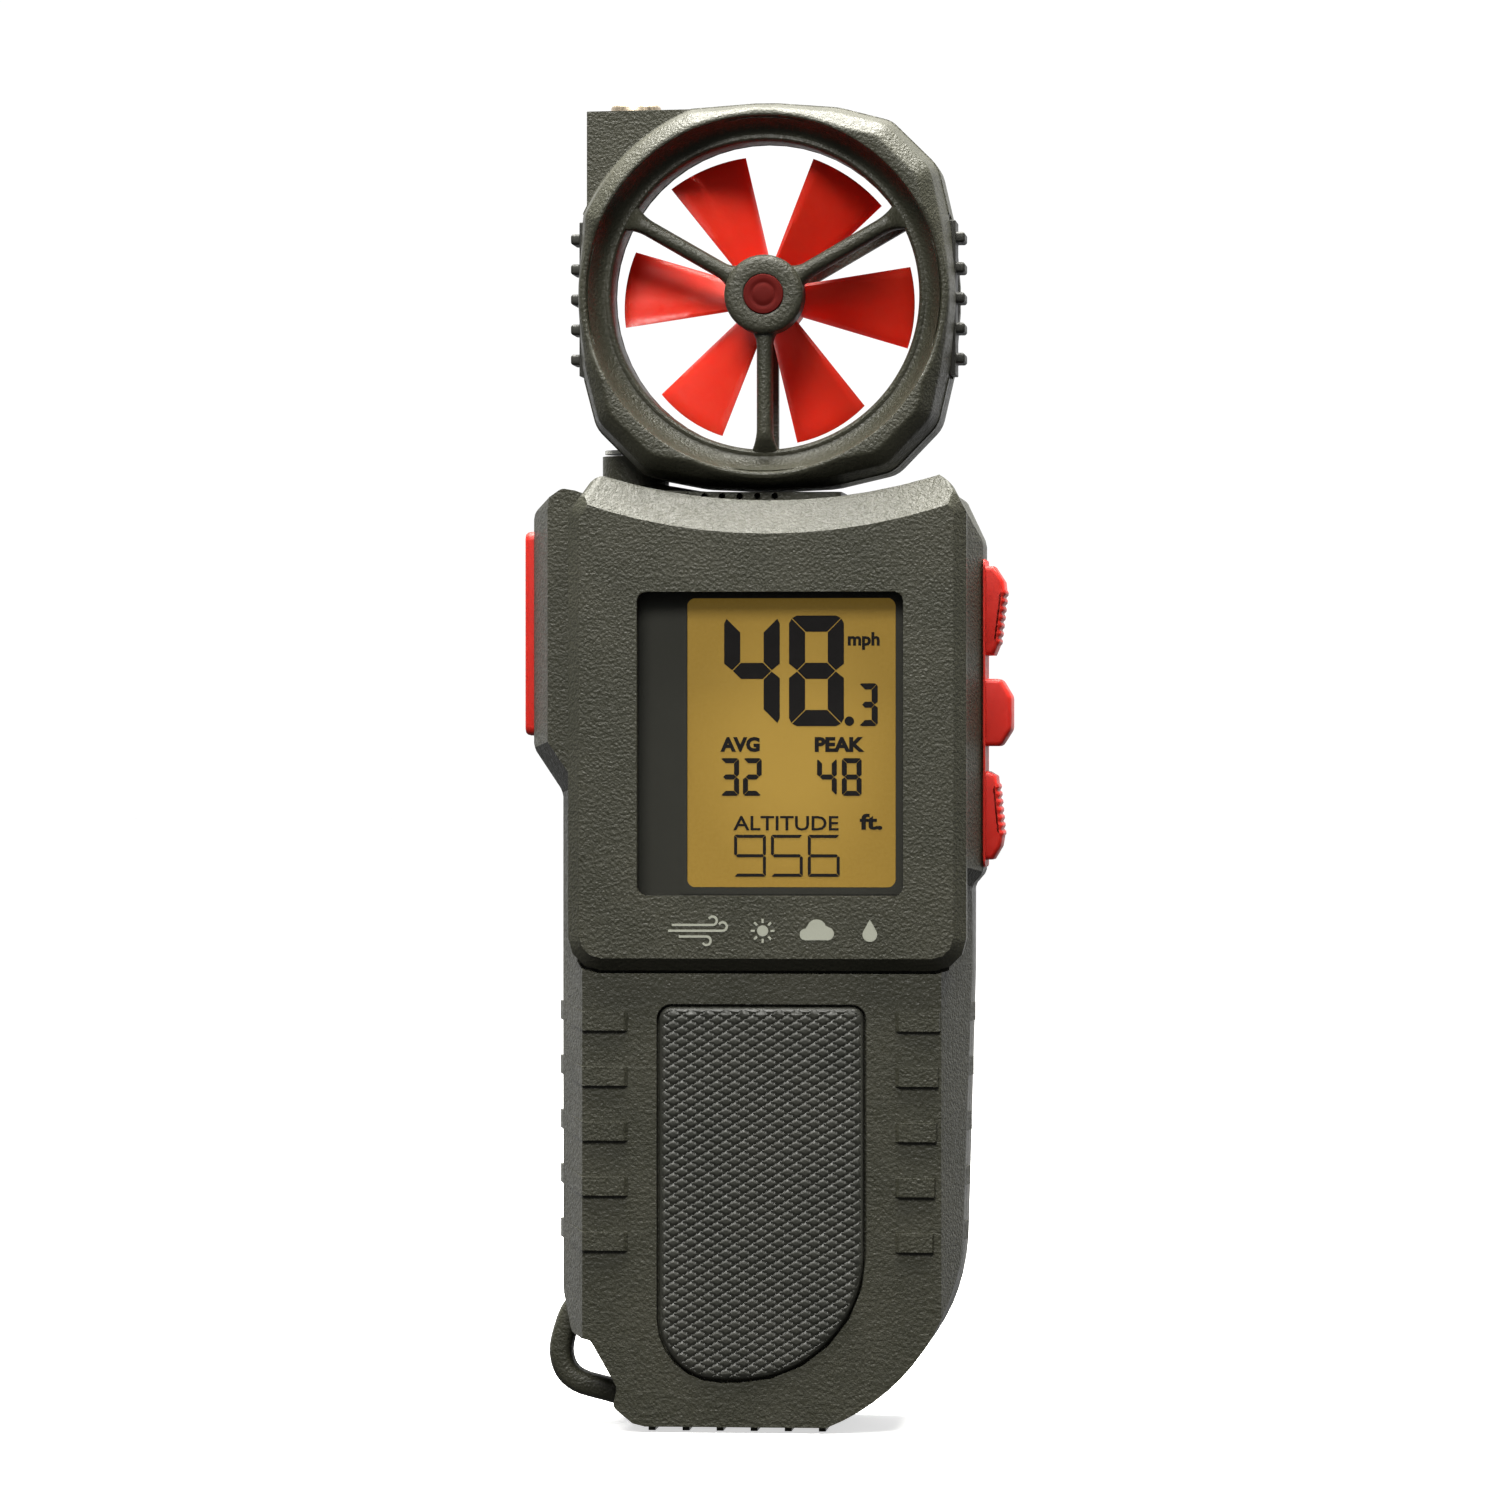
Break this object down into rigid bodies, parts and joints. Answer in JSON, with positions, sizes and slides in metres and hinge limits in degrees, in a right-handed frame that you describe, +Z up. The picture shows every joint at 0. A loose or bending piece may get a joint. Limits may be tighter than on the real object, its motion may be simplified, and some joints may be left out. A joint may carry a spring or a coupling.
{
  "type": "handheld weather meter",
  "caption": "Handheld weather meter with a display, side keys, a battery grip and a swinging head that carries a spinning wind impeller.",
  "frame": {"origin": "centre of the footprint on the ground, under the upright meter", "axes": "+Z up along the handle, -Y out of the display, +X towards the three keys"},
  "size_m": [0.064, 0.029, 0.1739],
  "materials": {
    "shell": "fine moulded grain, dark olive grey",
    "plate": "fine moulded grain with a faint sparkle",
    "pad": "soft touch, diamond lattice",
    "nubs": "matte",
    "red_plastic": "satin, slightly translucent",
    "red_key": "soft matte silicone",
    "badge": "printed",
    "window": "clear",
    "lcd": "amber reflective",
    "black_plastic": "smooth",
    "white_plastic": "smooth",
    "board": "solder mask",
    "steel": "plated",
    "brass": "plain",
    "cell_case": "plain sleeve",
    "cap": "satin"
  },
  "bodies": {
    "handle": {"front_shell": "shell", "rear_shell": "shell", "display_bezel": "plate", "display_window": "window", "lcd_frame": "black_plastic", "lcd_panel": "lcd", "backlight_panel": "white_plastic", "main_board": "board", "processor_chip": "black_plastic", "pressure_sensor": "steel", "switch_top": "black_plastic", "switch_middle": "black_plastic", "switch_bottom": "black_plastic", "switch_side": "black_plastic", "keypad_web": "red_key", "grip_pad": "pad", "battery_left": "cell_case", "battery_right": "cell_case", "contact_plate_left": "brass", "contact_plate_right": "brass", "contact_spring_left": "steel", "contact_spring_right": "steel", "lanyard_loop": "shell", "case_screw_1": "steel", "case_screw_2": "steel", "case_screw_3": "steel", "case_screw_4": "steel", "swivel_base": "shell", "swivel_pin": "steel", "swivel_nut": "steel", "friction_washer": "white_plastic", "humidity_sensor": "white_plastic"},
    "head": {"head_front_shell": "shell", "head_rear_shell": "shell", "head_grip_left": "nubs", "head_grip_right": "nubs", "hub_badge": "badge", "front_bearing": "brass", "rear_bearing": "brass", "speed_sensor": "black_plastic", "sensor_cap": "cap", "thermistor": "black_plastic", "head_screw_1": "steel", "head_screw_2": "steel", "head_screw_3": "steel"},
    "rotor": {"impeller": "red_plastic", "impeller_shaft": "steel", "impeller_magnet": "black_plastic"},
    "top_key": {"key_top": "red_key"},
    "middle_key": {"key_middle": "red_key"},
    "bottom_key": {"key_bottom": "red_key"},
    "long_button": {"side_button": "red_plastic"},
    "door": {"battery_door": "shell"}
  },
  "joints": [
    {"name": "head_swivel", "type": "hinge", "parent": "handle", "child": "head", "pos_m": [-0.018, 0.003, 0.128], "axis": [0, 0, 1], "range_deg": [0, 90]},
    {"name": "impeller_spin", "type": "hinge", "parent": "head", "child": "rotor", "pos_m": [0, 0, 0.1479], "axis": [0, 1, 0], "continuous": true},
    {"name": "key_top_press", "type": "slide", "parent": "handle", "child": "top_key", "axis": [-1, 0, 0], "range_m": [0, 0.0007], "stiffness_N_per_m": 800, "springref_m": -0.0005},
    {"name": "key_middle_press", "type": "slide", "parent": "handle", "child": "middle_key", "axis": [-1, 0, 0], "range_m": [0, 0.0007], "stiffness_N_per_m": 800, "springref_m": -0.0005},
    {"name": "key_bottom_press", "type": "slide", "parent": "handle", "child": "bottom_key", "axis": [-1, 0, 0], "range_m": [0, 0.0007], "stiffness_N_per_m": 800, "springref_m": -0.0005},
    {"name": "side_button_press", "type": "slide", "parent": "handle", "child": "long_button", "axis": [1, 0, 0], "range_m": [0, 0.0007], "stiffness_N_per_m": 800, "springref_m": -0.0005},
    {"name": "battery_door_hinge", "type": "hinge", "parent": "handle", "child": "door", "pos_m": [0, 0.0145, 0.011], "axis": [-1, 0, 0], "range_deg": [0, 80]}
  ]
}
